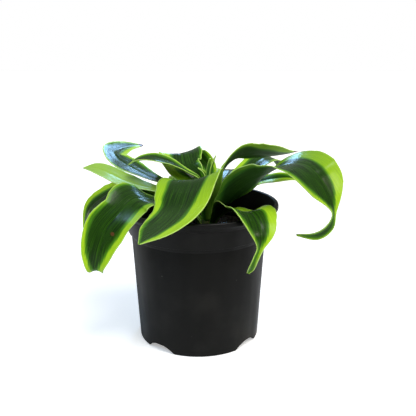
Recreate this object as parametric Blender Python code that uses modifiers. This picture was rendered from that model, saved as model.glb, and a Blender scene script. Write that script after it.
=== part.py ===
"""Potted dracaena with wide, waved strap leaves in a black nursery pot.

The pot stands on Z = 0 with its axis on Z. The viewer is at -Y, so -Y is the
front. Each blade is lofted along a midrib given by a few stations.
"""

import math

import bpy
from mathutils import Matrix, Vector

MM = 0.001
GAP = 0.3 * MM
MERGE_DISTANCE = 0.01 * MM

# Pot: tapered wall, prouder collar band, flared rim with a rounded lip
POT_HEIGHT = 144.0 * MM
FOOT_RADIUS = 63.4 * MM
FOOT_ROUNDING = 1.4 * MM
WALL_TOP_RADIUS = 70.0 * MM
COLLAR_RADIUS = 72.8 * MM
COLLAR_Z = 116.0 * MM
COLLAR_STEP = 1.2 * MM
FLARE_RADIUS = 74.6 * MM
FLARE_Z = 133.0 * MM
LIP_RADIUS = 82.5 * MM
LIP_HEIGHT = 4.6 * MM
LIP_ROUNDING = 1.6 * MM
LIP_WIDTH = 4.4 * MM
LIP_OVERHANG = 1.2 * MM
WALL = 1.7 * MM
POT_SEGMENTS = 64
ROUNDING_STEPS = 3

# Drain notches: arches cut through the foot of the wall
NOTCH_COUNT = 4
NOTCH_FIRST_ANGLE = math.radians(52.0)
NOTCH_WIDTH = 34.0 * MM
NOTCH_RISE = 7.5 * MM
NOTCH_INNER_RADIUS = 54.0 * MM
NOTCH_OUTER_RADIUS = 70.0 * MM
NOTCH_SEGMENTS = 64

# Soil fills the pot up to a little below the rim
SOIL_Z = 112.0 * MM
SOIL_MOUND = 4.0 * MM
SOIL_SEGMENTS = 48
SOIL_RINGS = 4

# Crown: a short cane with its rolled young leaves
CANE_X = 10.0 * MM
CANE_FOOT_Z = 84.0 * MM
CANE_FOOT_RADIUS = 6.8 * MM
CANE_TOP_Z = 163.0 * MM
CANE_TOP_RADIUS = 4.2 * MM
CANE_ROUNDING = 2.0 * MM
CANE_SEGMENTS = 20

# Blades: rings along and columns across, waves that grow toward the margins
BLADE_THICKNESS = 1.0 * MM
BLADE_RINGS = 22
BLADE_COLUMNS = 6
YOUNG_RINGS = 10
YOUNG_COLUMNS = 4
NARROWEST = 1.5
FLATTEST = 2.0
WAVE_POWER = 2.5
WAVE_FADE = 0.7
MARGIN_LAG = 1.9

# A leaf's stations are (reach, side, height, width, roll, cup). Reach is the way
# out from the cane's axis along the bearing, side the way to the left of it and
# height is above the ground, all in mm. Roll lifts the left margin and cup is the
# half angle of the channel, both in degrees. Waves are (height in mm, count, phase).
LEAVES = {
    "leaf_front": {
        "bearing": -115.0,
        "waves": (1.2, 2.5, 0.4),
        "stations": (
            (8.0, 0, 131, 11, 0, 60),
            (15, 3, 148, 21, 6, 50),
            (27, 6, 166, 42, 12, 36),
            (42, 3.5, 176, 68, 10, 20),
            (57, 4.5, 168.5, 64, 7, 18),
            (74, 6.5, 156, 55, 5, 14),
            (92, 6, 148.5, 50, 4, 12),
            (112, 1, 142, 36, 5, 12),
            (131, -4, 137, 2.5, 6, 10),
        ),
    },
    "leaf_front_left": {
        "bearing": -149.0,
        "waves": (1.2, 2.0, 1.2),
        "stations": (
            (8.6, 0, 119, 9, 0, 60),
            (18, 0, 129, 13, -4, 45),
            (38, 0, 144, 25, -2, 22),
            (62, 0, 153, 36, -6, 14),
            (83, 0, 158, 48, -24, 12),
            (99, 2, 147, 39, -34, 12),
            (112, -1, 133, 42, -42, 14),
            (120, -2, 117, 36, -48, 18),
            (124, -2, 103, 27, -52, 24),
            (125, -3, 93, 17, -54, 30),
            (120, -10, 89, 12, -54, 30),
            (114, -20, 92, 2.5, -54, 20),
        ),
    },
    "leaf_far_left_pale": {
        "bearing": 177.0,
        "waves": (0.8, 2.0, 0.0),
        "stations": (
            (8.0, 0, 142, 9, 0, 60),
            (16, 0, 151, 12, -4, 40),
            (34, 0, 154.5, 14, -6, 20),
            (57, 0, 157, 20, -9, 12),
            (86, 0, 165, 28, -13, 10),
            (105, 0, 174, 28, -15, 10),
            (118, 0, 178, 21, -14, 10),
            (129, 0, 178, 2.5, -10, 8),
        ),
    },
    "leaf_far_left_dark": {
        "bearing": 166.0,
        "waves": (1.0, 2.0, 2.0),
        "stations": (
            (8.2, 0, 127, 8, 0, 60),
            (20, 0, 134, 12, 0, 40),
            (40, 0, 137, 25, -6, 20),
            (62, 0, 143, 32, -12, 14),
            (82, 0, 151, 35, -20, 12),
            (99, 1, 150.5, 31, -28, 12),
            (116, 1, 143, 28, -36, 12),
            (134, 0, 127, 24, -42, 12),
            (142.5, 0, 105, 2.5, -46, 10),
        ),
    },
    "leaf_upper_left": {
        "bearing": 153.0,
        "waves": (0.8, 2.5, 0.8),
        "stations": (
            (7.6, 0, 147, 8, 0, 60),
            (14, 0, 155.5, 12, 0, 45),
            (34, 1, 158, 16, 0, 25),
            (60, 1.5, 160.5, 21, 0, 16),
            (77, 2, 166, 28, 0, 12),
            (96, 4, 174, 37, -1, 12),
            (109, 3, 180, 34, -2, 14),
            (118, -2, 185, 28, 2, 16),
            (124, -19, 186, 24, 8, 18),
            (126, -42, 186, 16, 10, 18),
            (122, -66, 184, 2.5, 10, 12),
        ),
    },
    "leaf_left_inner": {
        "bearing": 178.0,
        "waves": (0.6, 2.0, 0.5),
        "stations": (
            (7.2, 0, 157, 6, 0, 60),
            (10, 0, 168, 8, 0, 45),
            (20, 0, 174, 14, 0, 36),
            (30, 0, 179, 20, -3, 32),
            (42, 0, 184, 25, -5, 30),
            (57, 0, 188, 25, -6, 28),
            (71, 0, 187, 18, -5, 28),
            (82, 0, 182, 2.5, 0, 15),
        ),
    },
    "leaf_back_middle": {
        "bearing": 112.0,
        "waves": (0.8, 2.5, 0.0),
        "stations": (
            (7.0, 0, 152, 5, 0, 60),
            (10, 4, 162, 10, 0, 45),
            (15, 11, 170, 28, 0, 30),
            (22, 17, 176, 37, 4, 22),
            (31, 17, 182, 43, 7, 20),
            (42, 15, 188, 47, 11, 22),
            (58, 13, 184, 41, 9, 18),
            (78, 10, 171, 27, 4, 14),
            (92, 8, 154, 2.5, 0, 10),
        ),
    },
    "leaf_back_inner": {
        "bearing": 90.0,
        "waves": (0.6, 2.0, 1.0),
        "stations": (
            (6.2, -2, 163, 5, 0, 60),
            (9, -4, 168, 8, -10, 45),
            (16, -3, 172, 14, -22, 34),
            (26, 1, 178, 18, -32, 26),
            (36, 7, 183, 19, -38, 20),
            (45, 10, 185, 13, -40, 18),
            (52, 12, 184, 2.5, -36, 10),
        ),
    },
    "leaf_right_top": {
        "bearing": 22.0,
        "waves": (0.8, 2.5, 0.3),
        "stations": (
            (7.0, 0, 151, 7, 0, 60),
            (12, 0, 167, 10, -10, 50),
            (22, 0, 182, 21, -28, 40),
            (36, 0, 189.5, 29, -38, 32),
            (53, 0, 190.5, 31, -38, 26),
            (71, 0, 189, 31, -34, 22),
            (88, 0, 188, 22, -22, 20),
            (104, 0, 190, 2.5, -10, 15),
        ),
    },
    "leaf_right_behind": {
        "bearing": 44.0,
        "waves": (0.8, 2.0, 1.5),
        "stations": (
            (7.4, 0, 144, 10, 0, 60),
            (15, 0, 151, 14, 0, 40),
            (30, 0, 156, 20, 0, 24),
            (46, 0, 163, 24, 4, 16),
            (62, -1, 171, 28, 8, 14),
            (76, -2, 178, 32, 10, 14),
            (90, -2, 180, 31, 12, 14),
            (105, -1, 174, 24, 12, 14),
            (118, 0, 160, 2.5, 10, 10),
        ),
    },
    "leaf_right_low": {
        "bearing": 15.0,
        "waves": (0.8, 2.0, 0.6),
        "stations": (
            (7.6, 0, 137, 8, 0, 60),
            (16, 0, 145, 10, 0, 40),
            (30, 1, 150, 13, 0, 24),
            (44, 2, 156, 16, 2, 16),
            (58, 0, 162, 20, 6, 14),
            (72, -6, 166, 19, 10, 14),
            (84, -12, 167, 12, 10, 14),
            (93, -16, 165, 2.5, 8, 10),
        ),
    },
    "leaf_right_big": {
        "bearing": -24.0,
        "waves": (1.0, 3.0, 0.9),
        "stations": (
            (8.2, 0, 129, 11, 0, 60),
            (19, -1, 144, 24, -34, 50),
            (34, -3, 160, 39, -44, 40),
            (47, -3, 171, 44, -35, 32),
            (62, 1, 179, 53, -12, 24),
            (80, 3, 188.5, 60, 4, 18),
            (99, 0.5, 191, 57, 12, 12),
            (113, -4.5, 184.5, 54, 14, 12),
            (124, -2.5, 169, 42, 18, 14),
            (131, -1, 148, 7, 28, 18),
            (127, 0, 132, 9, 45, 30),
            (115, 0, 122, 9, 60, 30),
            (95, 0, 120, 2.5, 60, 20),
        ),
    },
    "leaf_right_front": {
        "bearing": -58.0,
        "waves": (1.0, 2.0, 2.2),
        "stations": (
            (8.4, 0, 121, 9, 0, 60),
            (18, 0, 133, 14, -20, 40),
            (34, 0, 146, 28, -24, 24),
            (55, 1, 145, 37, -14, 22),
            (71, 4, 149, 47, -2, 22),
            (84, 3, 142, 38, 0, 18),
            (91, 1, 132, 25, 0, 18),
            (93, -2, 121, 8, 0, 26),
            (92, -6, 111, 6, 10, 40),
            (87, -7, 100, 6, 20, 40),
            (79, -5, 92, 2.5, 20, 20),
        ),
    },
    "leaf_back_right": {
        "bearing": 70.0,
        "waves": (1.0, 2.0, 0.2),
        "stations": (
            (7.8, 0, 131, 8, 0, 60),
            (16, 0, 141, 11, 0, 40),
            (34, 0, 152, 25, -3, 24),
            (56, 0, 160, 33, -6, 16),
            (78, 0, 163, 36, -8, 12),
            (98, 0, 155, 30, -6, 12),
            (113, 0, 138, 20, -3, 12),
            (121, 0, 118, 2.5, 0, 10),
        ),
    },
    "leaf_back_low": {
        "bearing": 108.0,
        "waves": (1.0, 2.0, 1.1),
        "stations": (
            (8.2, 0, 125, 8, 0, 60),
            (20, 0, 136, 13, 0, 40),
            (40, 0, 146, 27, 0, 20),
            (62, 0, 152, 36, 0, 14),
            (82, 0, 154, 38, 0, 12),
            (101, 0, 147, 32, 0, 12),
            (113, 0, 130, 21, 0, 12),
            (119, 0, 111, 2.5, 0, 10),
        ),
    },
}

# Young leaves at the top of the cane, fused with it, in the same notation
YOUNG_LEAVES = {
    "young_leaf_left": {
        "bearing": 165.0,
        "stations": (
            (1, 0, 150, 6, 0, 60),
            (2.5, 0, 164, 8, 0, 70),
            (6, 0, 174, 8, 0, 70),
            (11, 0, 179, 2, 0, 50),
        ),
    },
    "young_leaf_right": {
        "bearing": 10.0,
        "stations": (
            (1, 0, 150, 6, 0, 60),
            (2, 0, 166, 8, 0, 75),
            (4, 0, 180, 8, 0, 75),
            (8, 0, 192, 2, 0, 50),
        ),
    },
    "young_leaf_spear": {
        "bearing": -60.0,
        "stations": (
            (0.6, 0, 150, 6, 0, 60),
            (1.5, 0, 168, 7, 0, 80),
            (2.5, 0, 182, 5, 0, 80),
            (4, 0, 190, 1.6, 0, 60),
        ),
    },
}


def clear_scene():
    for obj in list(bpy.data.objects):
        bpy.data.objects.remove(obj, do_unlink=True)


def new_collection(name):
    collection = bpy.data.collections.new(name)
    bpy.context.scene.collection.children.link(collection)
    return collection


def new_material(name, colour, roughness):
    material = bpy.data.materials.new(name)
    material.use_nodes = True
    shader = material.node_tree.nodes["Principled BSDF"]
    shader.inputs["Base Color"].default_value = (*colour, 1.0)
    shader.inputs["Roughness"].default_value = roughness
    shader.inputs["Metallic"].default_value = 0.0
    return material


def new_object(name, mesh, material, collection):
    obj = bpy.data.objects.new(name, mesh)
    mesh.materials.append(material)
    collection.objects.link(obj)
    return obj


def mesh_from(name, points, faces):
    mesh = bpy.data.meshes.new(name)
    mesh.from_pydata(points, [], faces)
    for polygon in mesh.polygons:
        polygon.use_smooth = True
    return mesh


def revolve(name, profile, segments, material, collection):
    """Spins (radius, z) points round Z. The profile runs down its outer side."""
    points = [(radius, 0.0, z) for radius, z in profile]
    mesh = bpy.data.meshes.new(name)
    mesh.from_pydata(points, [(i, i + 1) for i in range(len(points) - 1)], [])
    obj = new_object(name, mesh, material, collection)
    screw = obj.modifiers.new("Spin", "SCREW")
    screw.axis = "Z"
    screw.steps = segments
    screw.render_steps = segments
    screw.use_merge_vertices = True
    screw.merge_threshold = MERGE_DISTANCE
    screw.use_smooth_shade = True
    return obj


def arc(centre, radius, start, end, steps):
    """Points of an arc in the (radius, z) plane, angles in degrees."""
    points = []
    for i in range(steps + 1):
        angle = math.radians(start + (end - start) * i / steps)
        points.append((centre[0] + radius * math.cos(angle), centre[1] + radius * math.sin(angle)))
    return points


def cut(obj, cutter):
    boolean = obj.modifiers.new("Cut " + cutter.name, "BOOLEAN")
    boolean.operation = "DIFFERENCE"
    boolean.solver = "EXACT"
    boolean.object = cutter


def fuse(obj, other):
    boolean = obj.modifiers.new("Fuse " + other.name, "BOOLEAN")
    boolean.operation = "UNION"
    boolean.solver = "EXACT"
    boolean.object = other


def hide_tool(obj):
    obj.hide_render = True
    obj.display_type = "WIRE"


def cylinder_tool(name, radius, depth, segments, place):
    bpy.ops.mesh.primitive_cylinder_add(vertices=segments, radius=radius, depth=depth, location=place)
    obj = bpy.context.object
    obj.name = name
    for collection in list(obj.users_collection):
        collection.objects.unlink(obj)
    tools.objects.link(obj)
    hide_tool(obj)
    return obj


def smooth_value(values, knots, at):
    """Cubic through the values at the knots, with slopes taken from their neighbours."""
    last = len(knots) - 1
    k = 0
    while k < last - 1 and at > knots[k + 1]:
        k += 1

    def slope(i):
        before = max(i - 1, 0)
        after = min(i + 1, last)
        return (values[after] - values[before]) / (knots[after] - knots[before])

    span = knots[k + 1] - knots[k]
    t = (at - knots[k]) / span
    start = (2 * t**3 - 3 * t**2 + 1) * values[k] + (t**3 - 2 * t**2 + t) * span * slope(k)
    end = (3 * t**2 - 2 * t**3) * values[k + 1] + (t**3 - t**2) * span * slope(k + 1)
    return start + end


def midrib(leaf, rings):
    """Rings at equal steps along the leaf (place, width, roll, cup), and its left side."""
    bearing = math.radians(leaf["bearing"])
    outward = Vector((math.cos(bearing), math.sin(bearing), 0.0))
    left = Vector((-math.sin(bearing), math.cos(bearing), 0.0))
    foot = Vector((CANE_X, 0.0, 0.0))
    places = []
    for reach, side, height, *_ in leaf["stations"]:
        places.append(foot + (outward * reach + left * side + Vector((0.0, 0.0, height))) * MM)
    knots = [0.0]
    for a, b in zip(places, places[1:]):
        knots.append(knots[-1] + (b - a).length)
    widths, rolls, cups = list(zip(*leaf["stations"]))[3:]
    found = []
    for i in range(rings + 1):
        at = knots[-1] * i / rings
        place = Vector([smooth_value([p[k] for p in places], knots, at) for k in range(3)])
        width = max(smooth_value(widths, knots, at), NARROWEST) * MM
        roll = math.radians(smooth_value(rolls, knots, at))
        cup = math.radians(max(smooth_value(cups, knots, at), FLATTEST))
        found.append((place, width, roll, cup))
    return found, left


def blade_sheet(leaf, rings, columns):
    """Points and triangles of the open sheet that a leaf is thickened from."""
    found, across = midrib(leaf, rings)
    height, count, phase = leaf.get("waves", (0.0, 1.0, 0.0))
    points = []
    for i, (place, width, roll, cup) in enumerate(found):
        before = found[max(i - 1, 0)][0]
        after = found[min(i + 1, rings)][0]
        along = (after - before).normalized()
        across = (across - along * across.dot(along)).normalized()
        side = Matrix.Rotation(roll, 3, along) @ across
        up = along.cross(side)
        share = i / rings
        fade = math.sin(math.pi * share) ** WAVE_FADE
        for j in range(columns + 1):
            u = 2.0 * j / columns - 1.0
            lag = MARGIN_LAG if u > 0 else 0.0
            wave = math.sin(2 * math.pi * count * share + phase + lag)
            wave *= height * MM * fade * abs(u) ** WAVE_POWER
            out = 0.5 * width * math.sin(u * cup) / cup
            lift = 0.5 * width * (1.0 - math.cos(u * cup)) / cup
            points.append(place + side * out + up * (lift + wave))
    faces = []
    row = columns + 1
    for i in range(rings):
        for j in range(columns):
            a = i * row + j
            b = a + row
            faces.append((a, b, b + 1))
            faces.append((a, b + 1, a + 1))
    return points, faces


def blade(name, leaf, rings, columns, material, collection):
    points, faces = blade_sheet(leaf, rings, columns)
    obj = new_object(name, mesh_from(name, points, faces), material, collection)
    thick = obj.modifiers.new("Thickness", "SOLIDIFY")
    thick.thickness = BLADE_THICKNESS
    thick.offset = 0.0
    thick.use_even_offset = False
    return obj


clear_scene()
plant = new_collection("potted_dracaena")
tools = new_collection("cutters")

plastic = new_material("pot_plastic", (0.012, 0.012, 0.013), 0.42)
peat = new_material("potting_soil", (0.035, 0.022, 0.014), 0.95)
bark = new_material("cane", (0.16, 0.22, 0.05), 0.6)
leaf_green = new_material("leaf", (0.045, 0.16, 0.02), 0.35)
leaf_pale = new_material("leaf_pale", (0.35, 0.55, 0.07), 0.4)

# Pot
inner_lip = LIP_RADIUS - LIP_WIDTH
lip_centre_z = POT_HEIGHT - LIP_ROUNDING
foot_centre = (FOOT_RADIUS - FOOT_ROUNDING, FOOT_ROUNDING)
profile = [(0.0, WALL), (FOOT_RADIUS - WALL, WALL)]
profile.append((WALL_TOP_RADIUS - WALL, COLLAR_Z - COLLAR_STEP))
profile.append((COLLAR_RADIUS - WALL, COLLAR_Z))
profile.append((FLARE_RADIUS - WALL, FLARE_Z))
profile.extend(arc((inner_lip + LIP_ROUNDING, lip_centre_z), LIP_ROUNDING, 180, 90, ROUNDING_STEPS))
profile.extend(arc((LIP_RADIUS - LIP_ROUNDING, lip_centre_z), LIP_ROUNDING, 90, 0, ROUNDING_STEPS))
profile.append((LIP_RADIUS, POT_HEIGHT - LIP_HEIGHT))
profile.append((LIP_RADIUS - LIP_OVERHANG, POT_HEIGHT - LIP_HEIGHT))
profile.append((FLARE_RADIUS, FLARE_Z))
profile.append((COLLAR_RADIUS, COLLAR_Z))
profile.append((WALL_TOP_RADIUS, COLLAR_Z - COLLAR_STEP))
profile.extend(arc(foot_centre, FOOT_ROUNDING, 0, -90, ROUNDING_STEPS))
profile.append((0.0, 0.0))
pot = revolve("pot", profile, POT_SEGMENTS, plastic, plant)

# Soil, with a plain hole for the cane
wall_rise = COLLAR_Z - COLLAR_STEP - WALL
foot_inside = FOOT_RADIUS - WALL - GAP
soil_radius = foot_inside + (WALL_TOP_RADIUS - FOOT_RADIUS) * (SOIL_Z - WALL) / wall_rise
soil_profile = []
for i in range(SOIL_RINGS + 1):
    share = i / SOIL_RINGS
    soil_profile.append((soil_radius * share, SOIL_Z + SOIL_MOUND * (1.0 - share**2)))
soil_profile.append((foot_inside, WALL + GAP))
soil_profile.append((0.0, WALL + GAP))
soil = revolve("soil", soil_profile, SOIL_SEGMENTS, peat, plant)

hole_floor = CANE_FOOT_Z - GAP
hole_depth = SOIL_Z + 2 * SOIL_MOUND - hole_floor
hole_place = (CANE_X, 0.0, hole_floor + 0.5 * hole_depth)
cut(soil, cylinder_tool("cane_hole", CANE_FOOT_RADIUS + GAP, hole_depth, CANE_SEGMENTS, hole_place))

# Drain notches: the tops of wide cylinders lying along the pot's radii. The
# soil stops at the same arches, so that it can't block them
notch_radius = (0.25 * NOTCH_WIDTH**2 + NOTCH_RISE**2) / (2 * NOTCH_RISE)
notch_length = NOTCH_OUTER_RADIUS - NOTCH_INNER_RADIUS
notch_middle = 0.5 * (NOTCH_OUTER_RADIUS + NOTCH_INNER_RADIUS)
for i in range(NOTCH_COUNT):
    angle = NOTCH_FIRST_ANGLE + 2 * math.pi * i / NOTCH_COUNT
    place = (notch_middle * math.cos(angle), notch_middle * math.sin(angle), NOTCH_RISE - notch_radius)
    notch = cylinder_tool("notch_%d" % (i + 1), notch_radius, notch_length, NOTCH_SEGMENTS, place)
    notch.rotation_euler = (0.0, math.radians(90.0), angle)
    cut(pot, notch)
    cut(soil, notch)

# Crown
cane_profile = [(0.0, CANE_TOP_Z), (CANE_TOP_RADIUS - CANE_ROUNDING, CANE_TOP_Z)]
cane_profile.append((CANE_TOP_RADIUS, CANE_TOP_Z - CANE_ROUNDING))
cane_profile.append((CANE_FOOT_RADIUS, SOIL_Z))
cane_profile.append((CANE_FOOT_RADIUS, CANE_FOOT_Z))
cane_profile.append((0.0, CANE_FOOT_Z))
crown = revolve("crown", cane_profile, CANE_SEGMENTS, bark, plant)
crown.location = (CANE_X, 0.0, 0.0)
for name, leaf in YOUNG_LEAVES.items():
    young = blade(name, leaf, YOUNG_RINGS, YOUNG_COLUMNS, leaf_green, tools)
    hide_tool(young)
    fuse(crown, young)

# Leaves
for name, leaf in LEAVES.items():
    material = leaf_pale if name == "leaf_far_left_pale" else leaf_green
    blade(name, leaf, BLADE_RINGS, BLADE_COLUMNS, material, plant)
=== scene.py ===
"""Looks of the potted dracaena: wide, waved, lime-edged leaves in a black nursery pot.

The sections follow the plant as it is put together: the pot, the soil, the cane,
the grown leaves, the young leaves, and then the studio round them.
"""

import math

import bpy
from mathutils import Matrix, Vector, noise


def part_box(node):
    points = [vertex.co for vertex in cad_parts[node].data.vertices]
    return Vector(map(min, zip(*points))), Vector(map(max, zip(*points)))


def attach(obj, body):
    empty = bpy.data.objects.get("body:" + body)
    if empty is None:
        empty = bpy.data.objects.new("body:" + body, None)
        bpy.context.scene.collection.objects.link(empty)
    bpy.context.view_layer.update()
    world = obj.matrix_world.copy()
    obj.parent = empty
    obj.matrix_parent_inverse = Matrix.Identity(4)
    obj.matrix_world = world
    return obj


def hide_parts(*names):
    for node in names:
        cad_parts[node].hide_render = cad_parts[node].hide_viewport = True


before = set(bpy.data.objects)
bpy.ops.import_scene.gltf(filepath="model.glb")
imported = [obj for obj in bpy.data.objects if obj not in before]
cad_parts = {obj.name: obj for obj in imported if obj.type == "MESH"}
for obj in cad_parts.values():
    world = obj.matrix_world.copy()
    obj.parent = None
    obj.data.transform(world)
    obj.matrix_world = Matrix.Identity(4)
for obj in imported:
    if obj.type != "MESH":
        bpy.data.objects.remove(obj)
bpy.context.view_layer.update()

MM = 0.001

# Pot
# The grower's pot is one injection-moulded shell of black plastic. Its wall tapers to
# the foot, steps out into a collar band and flares into a rounded lip. Four low drain
# notches open through the foot of the wall.
pot_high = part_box("pot")[1]
POT_HEIGHT = pot_high.z
LIP_RADIUS = pot_high.x
LIP_HEIGHT = 4.6 * MM
LIP_ROUNDING = 1.6 * MM
LIP_WIDTH = 4.4 * MM
LIP_OVERHANG = 1.2 * MM
FLARE_RADIUS = 74.6 * MM
FLARE_Z = 133.0 * MM
COLLAR_RADIUS = 72.8 * MM
COLLAR_Z = 116.0 * MM
COLLAR_STEP = 1.2 * MM
COLLAR_SOFTNESS = 0.45 * MM
STACKING_LINE_Z = 111.5 * MM
STACKING_LINE_DEPTH = 0.25 * MM
STACKING_LINE_WIDTH = 0.9 * MM
WALL_TOP_RADIUS = 70.0 * MM
FOOT_RADIUS = 63.4 * MM
FOOT_ROUNDING = 1.4 * MM
WALL = 1.7 * MM
POT_SEGMENTS = 192
ROUND_STEPS = 8
SOFT_STEPS = 4
SEAM_MERGE = 0.01 * MM
NOTCH_COUNT = 4
NOTCH_FIRST_ANGLE = math.radians(52.0)
NOTCH_WIDTH = 34.0 * MM
NOTCH_RISE = 7.5 * MM
NOTCH_INNER_RADIUS = 54.0 * MM
NOTCH_OUTER_RADIUS = 70.0 * MM
NOTCH_SEGMENTS = 128
SHARP_ANGLE = math.radians(38.0)
PLASTIC_COLOUR = (0.0030, 0.0031, 0.0027)
DUST_COLOUR = (0.042, 0.040, 0.035)
DUST_AMOUNT = 0.18
GRAIN_PER_METRE = 900.0


def put(tree, kind, inputs=(), **settings):
    """A new node in the tree. Each input is a socket to link from, or a plain value."""
    made = tree.nodes.new(kind)
    for name, value in settings.items():
        setattr(made, name, value)
    for name, value in dict(inputs).items():
        if isinstance(value, bpy.types.NodeSocket):
            tree.links.new(value, made.inputs[name])
        else:
            made.inputs[name].default_value = value
    return made


def calc(tree, operation, *terms):
    """The result of one sum in the tree, whose terms are sockets or numbers."""
    kind = "ShaderNodeMath"
    return put(tree, kind, enumerate(terms), operation=operation).outputs[0]


def new_finish(name):
    """A material's empty Principled shader, with its tree."""
    material = bpy.data.materials.new(name)
    material.use_nodes = True
    return material, material.node_tree, material.node_tree.nodes["Principled BSDF"]


def blend_colour(tree, share, first, second):
    """Mixes two colours, each a socket or (red, green, blue)."""
    mixed = put(tree, "ShaderNodeMix", data_type="RGBA")
    for name, value in (("Factor", share), ("A", first), ("B", second)):
        kind = "VALUE" if name == "Factor" else "RGBA"
        socket = next(s for s in mixed.inputs if s.name == name and s.type == kind)
        if isinstance(value, bpy.types.NodeSocket):
            tree.links.new(value, socket)
        else:
            socket.default_value = value if kind == "VALUE" else (*value, 1.0)
    return next(s for s in mixed.outputs if s.type == "RGBA")


def spread(tree, value, low, high, to_low=0.0, to_high=1.0):
    """The value's range from low to high, smoothly spread from to_low to to_high."""
    inputs = {"Value": value, "From Min": low, "From Max": high, "To Min": to_low, "To Max": to_high}
    return put(tree, "ShaderNodeMapRange", inputs, interpolation_type="SMOOTHSTEP").outputs[0]


def arc(centre, radius, start, end, steps):
    """Points of an arc in the (radius, z) plane, angles in degrees."""
    points = []
    for i in range(steps + 1):
        angle = math.radians(start + (end - start) * i / steps)
        points.append((centre[0] + radius * math.cos(angle), centre[1] + radius * math.sin(angle)))
    return points


def spun(name, profile, segments):
    """Spins (radius, z) points round Z. The profile runs down its outer side."""
    mesh = bpy.data.meshes.new(name)
    points = [(radius, 0.0, z) for radius, z in profile]
    mesh.from_pydata(points, [(i, i + 1) for i in range(len(points) - 1)], [])
    obj = bpy.data.objects.new(name, mesh)
    bpy.context.scene.collection.objects.link(obj)
    screw = obj.modifiers.new("Spin", "SCREW")
    screw.steps = segments
    screw.render_steps = segments
    screw.use_merge_vertices = True
    screw.merge_threshold = SEAM_MERGE
    return obj


def settle(obj):
    """Makes the object's evaluated shape its plain mesh, and drops its modifiers."""
    depsgraph = bpy.context.evaluated_depsgraph_get()
    mesh = bpy.data.meshes.new_from_object(obj.evaluated_get(depsgraph))
    obj.modifiers.clear()
    obj.data = mesh
    mesh.name = obj.name
    return obj


def notched(obj):
    """Cuts the drain notches through the object, as the tops of wide lying cylinders."""
    radius = (0.25 * NOTCH_WIDTH**2 + NOTCH_RISE**2) / (2 * NOTCH_RISE)
    middle = 0.5 * (NOTCH_OUTER_RADIUS + NOTCH_INNER_RADIUS)
    tools = []
    for i in range(NOTCH_COUNT):
        angle = NOTCH_FIRST_ANGLE + 2 * math.pi * i / NOTCH_COUNT
        bpy.ops.mesh.primitive_cylinder_add(
            vertices=NOTCH_SEGMENTS,
            radius=radius,
            depth=NOTCH_OUTER_RADIUS - NOTCH_INNER_RADIUS,
            location=(middle * math.cos(angle), middle * math.sin(angle), NOTCH_RISE - radius),
            rotation=(0.0, math.radians(90.0), angle),
        )
        tools.append(bpy.context.object)
        cut = obj.modifiers.new("Notch", "BOOLEAN")
        cut.operation = "DIFFERENCE"
        cut.object = tools[-1]
    settle(obj)
    for tool in tools:
        bpy.data.objects.remove(tool, do_unlink=True)
    return obj


def moulded_grain():
    """Node group: the fine grain, rub marks and dust of moulded plastic."""
    tree = bpy.data.node_groups.new("Moulded grain", "ShaderNodeTree")
    for name in ("Grain Scale", "Dust Amount"):
        tree.interface.new_socket(name, in_out="INPUT", socket_type="NodeSocketFloat")
    for name in ("Height", "Rubbed", "Dust"):
        tree.interface.new_socket(name, in_out="OUTPUT", socket_type="NodeSocketFloat")
    values = put(tree, "NodeGroupInput").outputs
    place = put(tree, "ShaderNodeTexCoord").outputs["Object"]
    grain_inputs = {"Vector": place, "Scale": values["Grain Scale"], "Detail": 3.0}
    grain = put(tree, "ShaderNodeTexNoise", grain_inputs).outputs["Fac"]
    stretched = put(tree, "ShaderNodeMapping", {"Vector": place, "Scale": (60.0, 60.0, 7.0)})
    rubs = put(tree, "ShaderNodeTexNoise", {"Vector": stretched.outputs[0], "Scale": 1.0, "Detail": 6.0})
    clouds = put(tree, "ShaderNodeTexNoise", {"Vector": place, "Scale": 26.0, "Detail": 4.0})
    specks = put(tree, "ShaderNodeTexVoronoi", {"Vector": place, "Scale": 120.0})
    lone = put(tree, "ShaderNodeTexWhiteNoise", {"Vector": specks.outputs["Position"]})
    speck_size = spread(tree, specks.outputs["Distance"], 0.05, 0.11, 1.0, 0.0)
    speck = calc(tree, "MULTIPLY", speck_size, calc(tree, "GREATER_THAN", lone.outputs[0], 0.93))
    haze = spread(tree, clouds.outputs["Fac"], 0.45, 0.75)
    dust = calc(tree, "MAXIMUM", speck, calc(tree, "MULTIPLY", haze, values["Dust Amount"]))
    results = {"Height": grain, "Rubbed": spread(tree, rubs.outputs["Fac"], 0.3, 0.7), "Dust": dust}
    put(tree, "NodeGroupOutput", results)
    return tree


pot_finish, tree, shader = new_finish("Black pot plastic")
wear = put(tree, "ShaderNodeGroup", node_tree=moulded_grain())
wear.inputs["Grain Scale"].default_value = GRAIN_PER_METRE
wear.inputs["Dust Amount"].default_value = DUST_AMOUNT
shader.inputs["Specular IOR Level"].default_value = 0.16
plastic_colour = blend_colour(tree, wear.outputs["Dust"], PLASTIC_COLOUR, DUST_COLOUR)
tree.links.new(plastic_colour, shader.inputs["Base Color"])
tree.links.new(spread(tree, wear.outputs["Rubbed"], 0.0, 1.0, 0.36, 0.50), shader.inputs["Roughness"])
inputs = {"Height": wear.outputs["Height"], "Strength": 0.12, "Distance": 0.2 * MM}
bump = put(tree, "ShaderNodeBump", inputs)
tree.links.new(bump.outputs[0], shader.inputs["Normal"])

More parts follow.
